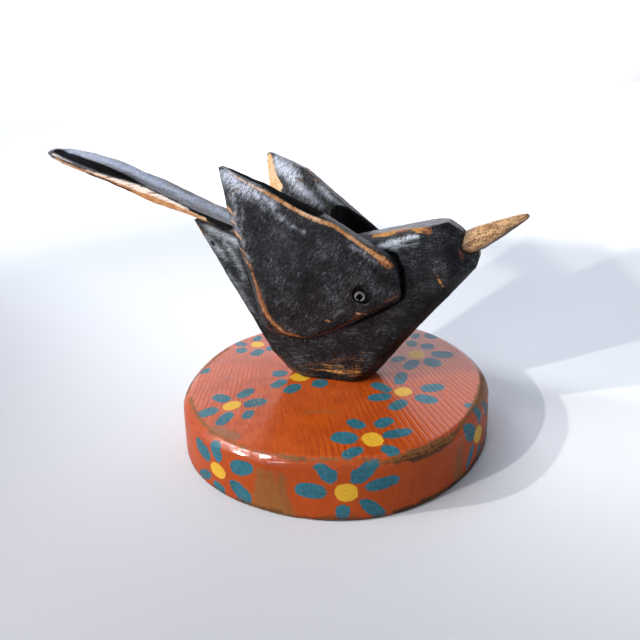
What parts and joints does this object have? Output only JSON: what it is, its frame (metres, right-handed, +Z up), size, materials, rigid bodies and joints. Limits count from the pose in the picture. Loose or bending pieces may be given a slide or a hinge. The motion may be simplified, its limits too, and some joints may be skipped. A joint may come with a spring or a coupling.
{
  "type": "carved wooden bird on a painted disc",
  "caption": "Stylised black-stained wooden bird with raised tail, screwed-on wings and a bare wood beak, standing on an orange disc painted with blue flowers.",
  "frame": {"origin": "centre of the disc's underside", "axes": "+X forward along the beak, +Y to the bird's left side, +Z up"},
  "size_m": [0.2446, 0.1559, 0.1437],
  "materials": {
    "orange_paint": "glossy orange-brown paint with blue and yellow flowers, worn through at the edges",
    "black_stain": "satin black stain over carved wood, rubbed through to bare wood on the edges",
    "bare_wood": "bare golden wood with a light oil sheen",
    "screw_steel": "plain steel wood screw with a square drive"
  },
  "bodies": {
    "root": {"base_disc": "orange_paint", "body": "black_stain", "tail": "black_stain", "wing_right": "black_stain", "wing_left": "black_stain", "beak": "bare_wood", "screw_right": "screw_steel", "screw_left": "screw_steel"}
  },
  "joints": []
}
